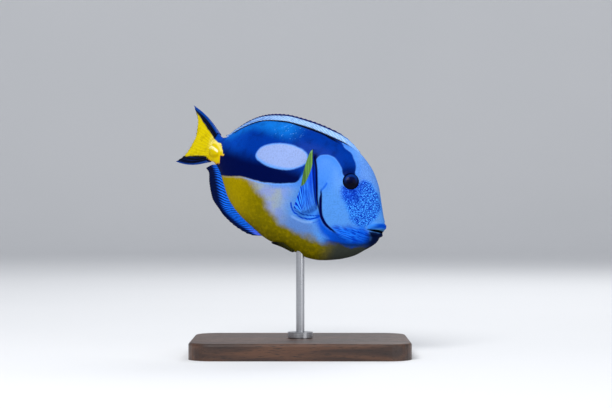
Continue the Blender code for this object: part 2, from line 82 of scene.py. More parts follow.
def profile(points, at):
    """A smooth line through (place, value) points, in thousandths, that never swings past them."""
    places, values = np.array(points, float).T / 1000
    at = np.clip(np.asarray(at, float), places[0], places[-1])
    steps = np.diff(places)
    rises = np.diff(values) / steps
    product = rises[:-1] * rises[1:]
    total = np.where(product > 0, rises[:-1] + rises[1:], 1)
    slopes = np.concatenate([rises[:1], np.where(product > 0, 2 * product / total, 0), rises[-1:]])
    index = np.clip(np.searchsorted(places, at, side="right") - 1, 0, len(steps) - 1)
    share = (at - places[index]) / steps[index]
    ends = values[index] * (1 + 2 * share) * (1 - share) ** 2
    ends += values[index + 1] * share ** 2 * (3 - 2 * share)
    leaning = slopes[index] * share * (1 - share) ** 2 - slopes[index + 1] * share ** 2 * (1 - share)
    return ends + steps[index] * leaning


def mix(start, end, share):
    return start + (end - start) * share


def smooth_step(start, end, at):
    share = np.clip((at - start) / (end - start), 0, 1)
    return share * share * (3 - 2 * share)


def hump(distance, width):
    return np.exp(-(distance / width) ** 2)


def bend(points):
    """Turns the straight fish's midline along an arc, tips the head down and goes to metres."""
    s, t, w = np.moveaxis(np.asarray(points, float), -1, 0)
    radius = (TURN_TO - TURN_FROM) / TAIL_TURN
    turn = TAIL_TURN * np.clip((s - TURN_FROM) / (TURN_TO - TURN_FROM), 0, 1)
    past = np.maximum(s - TURN_TO, 0)
    back = np.minimum(s, TURN_FROM) + radius * np.sin(turn) + past * math.cos(TAIL_TURN)
    aside = radius * (1 - np.cos(turn)) + past * math.sin(TAIL_TURN)
    ahead = w * np.sin(turn) - back
    return LENGTH * np.stack([ahead * math.cos(NOSE_DOWN) + t * math.sin(NOSE_DOWN),
                              aside + w * np.cos(turn),
                              t * math.cos(NOSE_DOWN) - ahead * math.sin(NOSE_DOWN)], -1)


keel_over_rod = bend([ROD_AT, profile(BELLY, ROD_AT), 0])


def place(points):
    return bend(points) - keel_over_rod + np.array([0, 0, BELLY_HEIGHT])


print("snout at", np.round(place([0, LIP_LEVEL, 0]) * 1000, 1), "mm")

# %% [markdown]
# ## The plain body
#
# A tang is as thin as a plate: from the front it is a tall, narrow oval whose back and belly come to
# soft ridges. One formula for that cross section gives any point of the skin. A sculptor would rough
# the body out first too, and only then press in the face and the gills.

# %% Points and directions on the plain body


def section(s):
    """The body at s: its widest level, height above and below it, half width and ridge sharpness."""
    rounding = np.sqrt(1 - (1 - np.clip((s - SNOUT) / NOSE_ROUNDING, 0, 1)) ** 2)
    level = profile(WIDEST_LEVEL, s)
    tail_taper = mix(1, 0.45, smooth_step(0.955, SKIN_END, s))
    above = (profile(BACK, s) - level) * rounding
    below = (level - profile(BELLY, s)) * rounding
    half = profile(HALF_WIDTH, s) * rounding * tail_taper
    return level, above, below, half, profile(KEEL_SHARPNESS, s)


def bare_skin(s, angle):
    """The plain body's surface, angle degrees round from the left: 90 is the back, 180 the right."""
    s, angle = np.broadcast_arrays(np.asarray(s, float), np.asarray(angle, float))
    level, above, below, half, sharpness = section(s)
    height = np.sin(np.radians(angle))
    reach = np.cos(np.radians(angle))
    out = np.sign(reach) * np.abs(reach) ** sharpness
    return np.stack([s, level + np.where(height > 0, above, below) * height, half * out], -1)


def unit(vectors):
    return vectors / np.maximum(np.linalg.norm(vectors, axis=-1, keepdims=True), 1e-12)


def skin_normal(s, angle):
    near = np.maximum(s, SNOUT + 0.0015)
    along = bare_skin(near + 0.001, angle) - bare_skin(near - 0.001, angle)
    around = bare_skin(near, angle + 0.4) - bare_skin(near, angle - 0.4)
    return unit(np.cross(along, around))


def angle_at(s, t, side):
    """The angle of the surface at level t, on the left for side 1 and on the right for side -1."""
    level, above, below, _, _ = section(s)
    share = np.clip((t - level) / np.where(t > level, above, below), -1, 1)
    angle = np.degrees(np.arcsin(share))
    return angle if side > 0 else 180 - angle


print("half width at the gills:", round(float(section(0.3)[3]) * LENGTH * 1000, 1), "mm")

# %% [markdown]
# ## Where the markings run
#
# The dark palette, its pale oval, the yellow belly and the gill creases could be painted by hand on a
# texture. Here they are smooth lines through (s, t) points, and each vertex stores how far it lies from
# each, in millimetres. The material only has to ask whether that distance is above or below nothing,
# which stays sharp at any size and is alike on both sides.

# %% Marking lines on the flank
OUTLINES = {
    "palette": [240, 82, 253, 93, 264, 111, 283, 129, 308, 144, 333, 148, 353, 142, 370, 129, 377, 110,
      388, 70, 402, 29, 406, 8, 415, -12, 440, -27, 484, -46, 530, -59, 581, -68, 629, -71, 679, -76,
      759, -95, 832, -103, 880, -112, 1000, -120, 1000, 120, 860, 200, 600, 270, 400, 270, 335, 235,
      304, 212, 287, 200, 257, 190, 232, 167, 215, 140, 210, 117, 203, 98, 214, 80],
    "oval": [405, 92, 411, 106, 422, 120, 451, 131, 494, 133, 541, 125, 575, 112, 613, 92, 636, 66,
      640, 40, 630, 24, 607, 15, 558, 8, 506, 13, 463, 27, 432, 48, 409, 75],
    "belly": [920, -85, 860, -92, 806, -87, 717, -73, 654, -72, 600, -91, 565, -111, 530, -131, 503, -162,
      461, -186, 413, -207, 364, -212, 316, -212, 269, -214, 222, -213, 187, -206, 142, -196, 100, -181,
      58, -163, 30, -150, 0, -150, 0, -360, 300, -370, 600, -370, 920, -220],
    "jaw_band": [288, -96, 284, -102, 274, -112, 250, -137, 217, -148, 188, -152, 155, -152, 125, -146,
      90, -133, 56, -118, 50, -155, 83, -176, 125, -190, 165, -202, 200, -200, 240, -182, 272, -155,
      290, -124, 294, -108],
    "streaked_jaw": [204, -130, 187, -124, 165, -116, 143, -107, 121, -98, 96, -92, 72, -98, 58, -120,
      79, -145, 108, -158, 138, -166, 167, -163, 196, -153, 216, -140],
    "chin": [66, -98, 44, -93, 20, -88, 0, -83, -30, -100, -30, -210, 30, -190, 47, -174, 56, -151,
      59, -130, 64, -112],
    "upper_lip": [80, -90, 79, -78, 70, -67, 56, -58, 38, -50, 21, -44, 0, -45, 0, -64, 30, -72, 52, -83,
      66, -91],
    "mouth_gap": [80, -96, 60, -86.8, 40, -81.5, 22, -78.8, 0, -76.5, 0, -86.5, 22, -89.2, 40, -92,
      60, -94],
    "face": [234, 42, 226, -4, 200, -28, 177, -56, 150, -83, 120, -98, 93, -93, 78, -72, 66, -53, 54, -21,
      52, 10, 68, 43, 96, 74, 132, 98, 166, 102, 186, 78, 206, 52],
    "tail_patch": [926, 31, 896, 29, 875, 17, 848, -5, 835, -14, 862, -23, 859, -55, 925, -62, 950, -60,
      972, -55, 997, -46, 1022, -49, 1063, -55, 1130, -68, 1188, -80, 1171, -46, 1160, -18, 1152, 4,
      1145, 26, 1156, 51, 1180, 88, 1203, 112, 1240, 139, 1179, 114, 1130, 94, 1079, 75, 1031, 60,
      983, 41, 955, 37],
    "armpit": [387, 119, 373, 96, 357, 67, 333, 7, 314, -45, 303, -66, 306, -78, 320, -60, 345, -18,
      365, 40, 392, 108],
}
LINES = {
    "inner_lip": [50, -86, 30, -79, 13, -71, 0, -67],
    "shoulder_line": [387, 119, 373, 96, 357, 67, 333, 7, 312, -49, 294, -81, 280, -104],
    "gill_slit": [298, 29, 301, 10, 308, -9, 302, -26, 297, -47, 287, -77, 274, -107, 262, -122,
      249, -134, 228, -145, 192, -157],
    "back_line": [874, 93, 843, 102, 811, 129, 779, 151, 726, 185, 674, 204, 616, 216, 567, 224, 420, 227,
      372, 221, 326, 214, 304, 209],
    "smear": [216, 48, 198, 40, 174, 22, 156, 6],
    "pale_fold": [385, -158, 355, -162, 325, -160, 300, -150],
    "knob_light": [970, 4, 944, 1, 918, -2, 896, -7],
    "knob_crest": [990, -6, 989, 10, 970, 24, 936, 27, 900, 17, 872, 2],
    "knob_foot": [988, -18, 968, -28, 944, -37, 912, -33, 884, -24],
}
FOLDS = [(1.25, [408, -104, 399, -121, 382, -138, 359, -145, 335, -147, 311, -141, 290, -127, 278, -116]),
         (0.8, [384, -124, 373, -131, 356, -133, 329, -130, 308, -124, 281, -113]),
         (0.5, [298, -153, 284, -144, 270, -128])]
MOUTH_LEVEL = [(0, -81), (22, -84), (40, -87), (60, -90.5), (80, -96)]


def smooth_line(points, closed, steps=8):
    """A smooth curve, after Catmull and Rom, through s and t given by turns in thousandths."""
    points = np.reshape(points, (-1, 2)) / 1000
    if closed:
        padded = np.concatenate([points[-1:], points, points[:2]])
    else:
        padded = np.concatenate([2 * points[:1] - points[1:2], points, 2 * points[-1:] - points[-2:-1]])
    share = np.linspace(0, 1, steps, endpoint=False)[:, None]
    pieces = []
    for before, start, end, after in zip(padded, padded[1:], padded[2:], padded[3:]):
        cubic = (3 * (start - end) + after - before) * share ** 3
        square = (2 * before - 5 * start + 4 * end - after) * share ** 2
        pieces.append(0.5 * (2 * start + (end - before) * share + square + cubic))
    line = np.concatenate(pieces)
    return np.concatenate([line, line[:1]] if closed else [line, points[-1:]])


def nearest_on(line, s, t):
    """How far each (s, t) is from a chain of points, in shares of the length."""
    nearest = np.full(np.shape(s), np.inf)
    for (s0, t0), (s1, t1) in zip(line, line[1:]):
        run, rise = s1 - s0, t1 - t0
        share = np.clip(((s - s0) * run + (t - t0) * rise) / (run * run + rise * rise + 1e-12), 0, 1)
        nearest = np.minimum(nearest, np.hypot(s - s0 - share * run, t - t0 - share * rise))
    return nearest


def line_distance(points, s, t):
    return nearest_on(smooth_line(points, False), s, t)


def loop_distance(points, s, t):
    """Distance from a closed outline, above nothing inside it and below nothing outside."""
    line = smooth_line(points, True)
    inside = np.zeros(np.shape(s), bool)
    for (s0, t0), (s1, t1) in zip(line, line[1:]):
        crosses = (t0 > t) != (t1 > t)
        inside ^= crosses & (s < (s1 - s0) * (t - t0) / (t1 - t0 if t1 != t0 else 1) + s0)
    return nearest_on(line, s, t) * np.where(inside, 1, -1)


print("outlines:", len(OUTLINES), "and lines:", len(LINES) + len(FOLDS))

# %% [markdown]
# ## Relief of the head and flank
#
# What makes a fish's head read as real is a handful of soft forms: full lips round a small mouth, the
# rim of the eye socket, two nostril pits, the hard edge of the gill cover with a slit behind it, and the
# folds where the pectoral fin grows out. Beside the tail a low knob carries the folding spine. Each is
# a hump or groove about a millimetre high or less. Displacing the mesh, not only its shading, keeps
# them true in profile and in the exported shape.

# %% Heights of the forms, as shares of the length
EYE_PLACE = (0.212, 0.074)
EYE_RIM = (0.0318, 0.0342)
EYE_DEPTH = 0.011
SOCKET_FORMS = [(0.0028, 1.13, 0.11), (-0.0016, 1.5, 0.18)]
NOSTRILS = [(0.15, 0.076), (0.164, 0.079)]
NOSTRIL_FORMS = [(0.0012, 0.0062, 0.002), (-0.006, 0, 0.0036)]
MOUTH_CORNER = 0.078
LIP_FORMS = [(0.0085, 0.022, 0.013), (0.006, -0.014, 0.008), (-0.0026, 0.041, 0.005),
             (-0.0022, -0.028, 0.004), (-0.014, 0, 0.0038)]
FOLD_DEPTH, FOLD_WIDTH = 0.0034, 0.0027
SHOULDER_DEPTH, SHOULDER_WIDTH = 0.0018, 0.0022
KNOB_PLACE = (0.934, -0.008)
KNOB_HEIGHT, KNOB_WIDTH, KNOB_STRETCH = 0.0085, 0.019, 0.55
SLIT_DEPTH, SLIT_WIDTH = 0.0045, 0.0028
GILL_STEP = (-0.004, 0.006)
GILL_FADE_LOW, GILL_FADE_HIGH = (-0.18, -0.15), (0.05, 0.02)
GILL_LINE = [(-270, 115), (-215, 145), (-165, 185), (-142, 245), (-112, 273), (-56, 293), (-4, 309),
             (35, 302), (120, 276), (250, 203)]


def forms(rows, distance, ground=0):
    """Humps and grooves across a distance, each row with its height, its place and its width."""
    return sum((height * hump(distance - middle, width) for height, middle, width in rows), ground)


def lips(s, t):
    """Two full lips with a fold beyond each and the mouth's line between, fading out at its corner."""
    fade = smooth_step(MOUTH_CORNER + 0.004, MOUTH_CORNER - 0.024, s)
    return fade * forms(LIP_FORMS, t - profile(MOUTH_LEVEL, s))


def eye_reach(points, side):
    """Distance from the eye's middle, 1 on the rim of its socket."""
    off = points - bare_skin(EYE_PLACE[0], angle_at(*EYE_PLACE, side))
    along = np.hypot(off[..., 0], off[..., 2]) / EYE_RIM[0]
    return np.hypot(along, off[..., 1] / EYE_RIM[1])


def eye_socket(reach):
    """A hollow that the eyeball fills, with a raised fleshy rim and a shallow moat beyond it."""
    return forms(SOCKET_FORMS, reach, -EYE_DEPTH * smooth_step(1, 0.87, reach))


def gill_relief(s, t, slit):
    """The cover's lifted edge, the slit under it and the low shoulder behind."""
    opening = smooth_step(*GILL_FADE_LOW, t) * smooth_step(*GILL_FADE_HIGH, t)
    ahead = profile(GILL_LINE, t) - s
    fall = np.exp(-np.abs(ahead) / np.where(ahead > 0, 0.03, 0.02))
    step = mix(*GILL_STEP, smooth_step(-0.003, 0.003, ahead)) * fall
    return opening * (step - SLIT_DEPTH * hump(slit, SLIT_WIDTH))


def fold_marks(s, t):
    """Crescent creases in the skin below the pectoral fin's root, 1 at the bottom of the deepest."""
    return sum(strength * hump(line_distance(points, s, t), FOLD_WIDTH) for strength, points in FOLDS)


def relief(points):
    """Height added to the plain skin at its (s, t, w) points."""
    s, t, w = np.moveaxis(points, -1, 0)
    total = lips(s, t) + gill_relief(s, t, line_distance(LINES["gill_slit"], s, t))
    total = total - FOLD_DEPTH * fold_marks(s, t)
    from_knob = np.hypot(KNOB_STRETCH * (s - KNOB_PLACE[0]), t - KNOB_PLACE[1])
    total = total + KNOB_HEIGHT * hump(from_knob, KNOB_WIDTH)
    total = total - SHOULDER_DEPTH * hump(line_distance(LINES["shoulder_line"], s, t), SHOULDER_WIDTH)
    for side in (1, -1):
        total = total + eye_socket(eye_reach(points, side))
        for nostril in NOSTRILS:
            pit = bare_skin(nostril[0], angle_at(*nostril, side))
            total = forms(NOSTRIL_FORMS, np.linalg.norm(points - pit, axis=-1), total)
    return total


print("lip height:", round(float(lips(0.03, -0.062)) * LENGTH * 1000, 2), "mm")

# %% [markdown]
# ## One skin over head, body and tail stem
#
# The real skin has no seam, so a single sheet covers the three solids. A grid primitive is rolled
# round the body into a tube: its two long edges are merged at the keel, and both ends shrink to a
# point. So every row runs cleanly round the fish, as it wouldn't when sculpted from a ball.

# %% Helpers that turn a flat grid into a closed shape
MERGE_WITHIN = 2e-6


def store(piece, name, values):
    """Keeps a number or a vector at every vertex, for the materials to read."""
    kind, field = ("FLOAT_VECTOR", "vector") if np.ndim(values) > 1 else ("FLOAT", "value")
    layer = piece.data.attributes.new(name, kind, "POINT")
    layer.data.foreach_set(field, np.ascontiguousarray(values, dtype=np.float32).ravel())


def edit(operator, **options):
    """Runs a mesh operator on the whole newest piece."""
    bpy.ops.object.mode_set(mode="EDIT")
    bpy.ops.mesh.select_all(action="SELECT")
    operator(**options)
    bpy.ops.object.mode_set(mode="OBJECT")


def rolled_grid(name, points, kept):
    """A grid primitive laid on rows of points, with the kept values stored, then closed."""
    rows, columns = points.shape[:2]
    bpy.ops.mesh.primitive_grid_add(x_subdivisions=columns - 1, y_subdivisions=rows - 1, size=1)
    piece = bpy.context.object
    piece.name = piece.data.name = name
    piece.data.vertices.foreach_set("co", np.ascontiguousarray(points, dtype=np.float32).ravel())
    for key, values in kept.items():
        store(piece, key, values.reshape(-1, 3) if values.ndim > 2 else values.ravel())
    piece.data.update()
    edit(bpy.ops.mesh.remove_doubles, threshold=MERGE_WITHIN)
    edit(bpy.ops.mesh.normals_make_consistent, inside=False)
    bpy.ops.object.shade_smooth()
    print(name, len(piece.data.vertices), "vertices")
    return piece


# %% Lay the skin
RINGS = 340
SPOKES = 288

run = np.linspace(0, 1, RINGS + 1)
ring_s = SNOUT + (SKIN_END - SNOUT) * run ** 2 / (run + 0.35) * 1.35
turn_share = np.linspace(-1, 1, SPOKES // 2 + 1)
left_angles = 90 * np.sign(turn_share) * np.abs(turn_share) ** 1.25
ring_angle = np.concatenate([left_angles, 180 - left_angles[-2::-1]])
s_grid, angle_grid = np.meshgrid(ring_s, ring_angle, indexing="ij")
bare = bare_skin(s_grid, angle_grid)
heights = relief(bare) * smooth_step(SNOUT, SNOUT + 0.004, s_grid)
skin_points = bare + skin_normal(s_grid, angle_grid) * heights[..., None]
skin_points[-1] = [SKIN_END, profile(WIDEST_LEVEL, SKIN_END), 0]
s_flat, t_flat = bare[..., 0], bare[..., 1]

MILLIMETRES = LENGTH * 1000
SIDES = ((1, "left"), (-1, "right"))
marks = {"lie": bare, "folds": fold_marks(s_flat, t_flat),
         "eye_reach": np.minimum(eye_reach(bare, 1), eye_reach(bare, -1))}
for measure, group in ((loop_distance, OUTLINES), (line_distance, LINES)):
    for name, points in group.items():
        marks[name] = measure(points, s_flat, t_flat) * MILLIMETRES
skin = rolled_grid("skin", place(skin_points), marks)
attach(skin, "root")
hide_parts("head", "torso", "tail_stem")

# %% [markdown]
# ## Fins as folded sheets
#
# A fin is clear skin over thin bony rays. A plane with a thickness would look like card, so each fin is
# a grid folded over its free edge: half of its rows go up the left face and half down the right.
# Rays are ridges that rise from both faces, and fork towards the edge, as soft rays do.

# %% Fin numbers, as in the solids
DORSAL_ROOT = (0.215, 0.895)
DORSAL_LEAN = [(0, 12), (120, 70), (500, 110), (900, 50), (1000, 25)]
DORSAL_HEIGHT = [(225, 4), (260, 14), (300, 25), (360, 33), (450, 34), (600, 34), (700, 31), (800, 23),
                 (860, 17), (920, 11)]
ANAL_ROOT = (0.497, 0.895)
ANAL_LEAN = [(0, 55), (50, 80), (100, 105), (200, 140), (310, 160), (450, 152), (650, 130), (850, 102),
             (1000, 80)]
ANAL_HEIGHT = [(520, 8), (572, 36), (625, 48), (675, 58), (732, 71), (774, 86), (809, 102), (848, 114),
               (876, 108), (899, 93), (941, 53), (975, 32)]
TAIL_FIN_START = 0.9747
TAIL_FIN_ROOT = (0.072, -0.065)
TAIL_FIN_EDGE_S = [(0, 1273), (70, 1247), (170, 1207), (250, 1184), (390, 1160), (500, 1149), (630, 1162),
                   (740, 1175), (860, 1196), (1000, 1238)]
TAIL_FIN_EDGE_T = (0.157, -0.119)
TAIL_FIN_SWELL = (0.013, -0.016)
PECTORAL_BASE = [(0, 303, -83), (500, 322, -110), (1000, 352, -124)]
PECTORAL_TIP = [(0, 396, 138), (100, 403, 123), (500, 395, 40), (750, 383, -28), (1000, 381, -115)]
PECTORAL_RISE = [(0, -4), (12, 10), (50, 16.5), (160, 21.5), (420, 26), (720, 29), (1000, 32)]
PELVIC_S = (0.34, 0.448)
PELVIC_INNER = -84
PELVIC_OUTER = (-76, -69, -80)
PELVIC_RISE = [(0, -4), (8, 5), (40, 6.2), (300, 6.2), (700, 6.2), (1000, 8)]
PELVIC_HALVES = (0.0034, 0.0015)
TAIL_HALVES = (0.0118, 0.0018)
GREEN_FROM = [(0, 980), (10, 870), (20, 760), (100, 660), (230, 648), (400, 665), (520, 700), (620, 800),
              (700, 927), (760, 1050), (1000, 1200)]
RAY_COLUMNS = 8
ROOT_HALF = 0.0066
EDGE_HALF = 0.0015
RIDGE_SUNK, RIDGE_NOTCH, RIDGE_SWAY, RIDGE_OVERLAP = 0.006, 0.0022, 0.0012, 0.0014
TAIL_NOTCH, TAIL_WAVE = 0.004, 0.0035


def ray_ridges(share, along, rays, fork_at):
    """1 on a ray's crest and 0 in the membrane, each ray splitting in two past fork_at."""
    across = (share * rays) % 1 - 0.5
    spread = 0.24 * smooth_step(fork_at, 1, along)
    width = mix(0.17, 0.11, along)
    return np.maximum(hump(across - spread, width), hump(across + spread, width))


def folded_fin(name, rays, rows, middle, thickness=(ROOT_HALF, EDGE_HALF), fork_at=0.35, ridge=0.0016,
               further=lambda share, along, points: {}):
    """A fin from its middle sheet, whose points middle(share, along) gives, with further kept values."""
    columns = rays * RAY_COLUMNS
    share, along = np.meshgrid(np.linspace(0, 1, columns + 1), np.linspace(0, 1, rows + 1) ** 0.85)
    points = middle(share, along)
    sideways = unit(np.cross(np.gradient(points, axis=1), np.gradient(points, axis=0)))
    ridges = ray_ridges(share, along, rays, fork_at)
    half = mix(*thickness, along ** 0.6) + ridge * (1 - 0.5 * along) * ridges
    half *= np.sqrt(np.clip(1 - along ** 24, 0, 1)) * smooth_step(0, 0.01, share) ** 0.5
    half *= smooth_step(1, 0.99, share) ** 0.5
    offset = sideways * half[..., None]
    kept = {"share": share, "along": along, "rays": ridges, **further(share, along, points)}
    kept = {key: np.concatenate([values, values[-2::-1]]) for key, values in kept.items()}
    return rolled_grid(name, place(np.concatenate([points + offset, (points - offset)[-2::-1]])), kept)


print("fin edge thickness:", round(2 * EDGE_HALF * MILLIMETRES, 2), "mm")

# %% Dorsal and anal fins


def ridge_fin(root, lean, height, up, rays):
    """The middle sheet of a fin that stands on the back for up 1, or under the belly for up -1."""
    def middle(share, along):
        foot = mix(*root, share)
        tip = foot + profile(lean, share)
        s = mix(foot, tip, along)
        notch = RIDGE_NOTCH * np.abs(np.sin(np.pi * share * rays)) * smooth_step(0.7, 1, along)
        stand = profile(height, tip) + RIDGE_OVERLAP - notch
        level, above, below, _, _ = section(s)
        t = level + (above if up > 0 else -below) + up * mix(-RIDGE_SUNK, stand, along)
        return np.stack([s, t, RIDGE_SWAY * np.sin(share * 23) * along], -1)
    return middle


DORSAL_RAYS = 34
ANAL_RAYS = 31
dorsal = folded_fin("dorsal_fin_skin", DORSAL_RAYS, 12, fork_at=0.95, middle=ridge_fin(
    DORSAL_ROOT, DORSAL_LEAN, DORSAL_HEIGHT, 1, DORSAL_RAYS))
anal = folded_fin("anal_fin_skin", ANAL_RAYS, 16, fork_at=0.8, middle=ridge_fin(
    ANAL_ROOT, ANAL_LEAN, ANAL_HEIGHT, -1, ANAL_RAYS))
for fin, node in ((dorsal, "dorsal_fin"), (anal, "anal_fin")):
    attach(fin, "root")
    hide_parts(node)

# %% Tail fin


def tail_middle(share, along):
    """The middle sheet of the tail fin, fanned from the stem, its edge waved a little."""
    root_t = mix(*TAIL_FIN_ROOT, share)
    tip_t = mix(*TAIL_FIN_EDGE_T, share)
    notch = TAIL_NOTCH * np.abs(np.sin(np.pi * share * 16)) * smooth_step(0.8, 1, along)
    s = mix(TAIL_FIN_START, profile(TAIL_FIN_EDGE_S, share) - notch, along)
    swell = mix(*TAIL_FIN_SWELL, share) * np.sin(np.pi * along)
    wave = TAIL_WAVE * np.sin(share * 9 + 0.6) * along ** 1.5
    return np.stack([s, mix(root_t, tip_t, along) + swell, wave], -1)


def tail_mark(share, along, points):
    distance = loop_distance(OUTLINES["tail_patch"], points[..., 0], points[..., 1])
    return {"tail_patch": distance * MILLIMETRES}


tail = folded_fin("tail_fin_skin", 16, 26, tail_middle, TAIL_HALVES, 0.3, 0.002, tail_mark)
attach(tail, "root")
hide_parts("tail_fin")

# %% Pectoral and pelvic fins


def pectoral_path(side):
    def path(share, along):
        s, t = [mix(*[profile([(row[0], row[column]) for row in rows], share)
                      for rows in (PECTORAL_BASE, PECTORAL_TIP)], along) for column in (1, 2)]
        return s, angle_at(s, t, side)
    return path


def pelvic_path(side):
    def path(share, along):
        root, middle, tip = PELVIC_OUTER
        outer = mix(root, middle, np.minimum(2 * along, 1)) + (tip - middle) * np.maximum(2 * along - 1, 0)
        angle = mix(PELVIC_INNER, outer, share)
        return mix(*PELVIC_S, along), angle if side > 0 else 180 - angle
    return path


def laid_fin(path, rise):
    """The middle sheet of a fin that leaves the body square to it and turns back over it."""
    def middle(share, along):
        s, angle = path(share, along)
        return bare_skin(s, angle) + skin_normal(s, angle) * profile(rise, along)[..., None]
    return middle


def green_mark(share, along, points):
    return {"past_green": along - profile(GREEN_FROM, share)}


for side, word in SIDES:
    pectoral = folded_fin("pectoral_fin_skin_" + word, 16, 26, further=green_mark, fork_at=0.9,
                          middle=laid_fin(pectoral_path(side), PECTORAL_RISE))
    pelvic = folded_fin("pelvic_fin_skin_" + word, 5, 16,
                        laid_fin(pelvic_path(side), PELVIC_RISE), PELVIC_HALVES, fork_at=0.6)
    for fin, kind in ((pectoral, "pectoral_fin"), (pelvic, "pelvic_fin")):
        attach(fin, "root")
        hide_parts(kind + "_" + word)

# %% [markdown]
# ## Eyes
#
# A fish has no eyelids: the eye is a low dome set in a soft rim, all pupil and dark iris. A flattened
# sphere primitive is close to the real lens, and its distance from the axis, kept at each vertex, lets
# the material draw pupil, iris and outer ring as circles.

# %% Eyeballs in their sockets
EYE_RADII = (0.0041, 0.0044, 0.0026)
EYE_SUNK = 0.0013


def skin_point(s, angle):
    return Vector(place(bare_skin(s, angle)))


def surface_matrix(s, angle, depth):
    """A matrix at the skin: Z out of the skin, X along the fish, depth below the skin."""
    along = skin_point(s + 0.004, angle) - skin_point(s - 0.004, angle)
    around = skin_point(s, angle + 2) - skin_point(s, angle - 2)
    out = along.cross(around).normalized()
    along = (along - out * along.dot(out)).normalized()
    turn = Matrix((along, out.cross(along), out)).transposed().to_4x4()
    return Matrix.Translation(skin_point(s, angle) - out * depth) @ turn


for side, word in SIDES:
    bpy.ops.mesh.primitive_uv_sphere_add(segments=64, ring_count=48, radius=1)
    eye = bpy.context.object
    eye.name = eye.data.name = "eyeball_" + word
    around = np.array([vertex.co for vertex in eye.data.vertices])
    store(eye, "from_axis", np.hypot(around[:, 0], around[:, 1]) + np.where(around[:, 2] < 0, 1, 0))
    where = surface_matrix(EYE_PLACE[0], float(angle_at(*EYE_PLACE, side)), EYE_SUNK)
    eye.data.transform(where @ Matrix.Diagonal((*EYE_RADII, 1)))
    bpy.ops.object.shade_smooth()
    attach(eye, "root")
    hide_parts("eye_" + word)
    print(eye.name, "at", [round(value * 1000, 1) for value in where.translation], "mm")

# %% [markdown]
# ## The folding spine beside the tail
#
# Surgeonfish are named for a blade that folds into a groove on each side of the tail stem. It lies
# nearly flat, so a slim cone primitive, bent a little and pressed flat, is enough.

# %% Tail spines
BLADE_ROOT = 0.964
BLADE_LENGTH = 0.0056
BLADE_RADIUS = 0.0008
BLADE_POINT = 0.00008
BLADE_CURVE = 0.0004
BLADE_FLATNESS = 0.6
BLADE_LIFT = 0.0003 + 0.4 * BLADE_RADIUS

for side, word in SIDES:
    bpy.ops.mesh.primitive_cone_add(vertices=24, radius1=BLADE_RADIUS, radius2=BLADE_POINT,
                                    depth=BLADE_LENGTH)
    blade = bpy.context.object
    blade.name = blade.data.name = "tail_spine_" + word
    edit(bpy.ops.mesh.subdivide, number_cuts=6)
    for vertex in blade.data.vertices:
        along = vertex.co.z / BLADE_LENGTH + 0.5
        vertex.co.x += BLADE_CURVE * math.sin(math.pi * along)
    place_on = surface_matrix(BLADE_ROOT - BLADE_LENGTH / LENGTH / 2, 0 if side > 0 else 180, -BLADE_LIFT)
    lying = Matrix.Rotation(math.radians(-90), 4, "Y")
    blade.data.transform(place_on @ Matrix.Diagonal((1, 1, BLADE_FLATNESS, 1)) @ lying)
    bpy.ops.object.shade_smooth_by_angle(angle=math.radians(50))
    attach(blade, "root")
    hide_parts("tail_blade_" + word)

# %% [markdown]
# ## Helpers for materials
#
# Every finish here is made of nodes. The helpers add to the material or group that was opened last, so
# no call has to name it. layered() works as a painter does: a ground first, then one colour after the
# other, each through its own mask. Colours are written as they look on a screen, from 0 to 255.

# %% Node helpers
NUMBER = "NodeSocketFloat"
material = tree = shader = None


def paint(red, green, blue):
    """A screen colour from 0 to 255 as linear light."""
    values = np.array([red, green, blue]) / 255
    linear = np.where(values <= 0.04045, values / 12.92, ((values + 0.055) / 1.055) ** 2.4)
    return (*[float(value) for value in linear], 1)


def fill(node, inputs):
    """Sets a node's inputs, or links them to the outputs of other nodes."""
    for key, value in inputs.items():
        if isinstance(value, bpy.types.NodeSocket):
            tree.links.new(value, node.inputs[key])
        else:
            node.inputs[key].default_value = value


def add(kind, inputs=None, **settings):
    """Adds a node, sets its settings, fills its inputs and gives its outputs."""
    node = tree.nodes.new("ShaderNode" + kind)
    for key, value in settings.items():
        setattr(node, key, value)
    fill(node, inputs or {})
    return node.outputs


def kept(name, output="Fac"):
    """A value or vector that the piece keeps at its vertices."""
    return add("Attribute", attribute_name=name)[output]


def here():
    return add("TexCoord")["Object"]


def noise(scale, detail=2, vector=None, distortion=0):
    """Cloudy noise over the piece, or over another vector."""
    return add("TexNoise", {"Vector": here() if vector is None else vector, "Scale": scale,
                            "Detail": detail, "Distortion": distortion})[0]


def compute(operation, *values):
    """The result of one Math node."""
    return add("Math", dict(enumerate(values)), operation=operation)[0]


def times(first, *others):
    """Several masks or numbers multiplied."""
    for other in others:
        first = compute("MULTIPLY", first, other)
    return first


def ramp(value, low, high, start=0, end=1):
    """A value, or the one kept under a name, carried smoothly from low to high onto start to end."""
    inputs = {0: kept(value) if isinstance(value, str) else value, 1: low, 2: high, 3: start, 4: end}
    return add("MapRange", inputs, interpolation_type="SMOOTHSTEP")[0]


def blend(share, first, second):
    """Two colours, each screen values or the output of a node, mixed by a share from 0 to 1."""
    first, second = [paint(*colour) if isinstance(colour, tuple) else colour for colour in (first, second)]
    return add("Mix", {0: share, 6: first, 7: second}, data_type="RGBA")[2]


def layered(ground, *layers):
    """A ground colour with further layers over it, each a mask and a colour."""
    for mask, colour in layers:
        ground = blend(mask, ground, colour)
    return ground


def bumped(height, strength, distance):
    """The normals of a surface roughened by a height."""
    return add("Bump", {"Height": height, "Strength": strength, "Distance": distance})[0]


def open_material(name, **constants):
    """Opens a material and sets the unchanging values of its Principled shader."""
    global material, tree, shader
    material = bpy.data.materials.new(name)
    material.use_nodes = True
    tree = material.node_tree
    shader = tree.nodes["Principled BSDF"]
    fill(shader, {key.replace("_", " "): value for key, value in constants.items()})


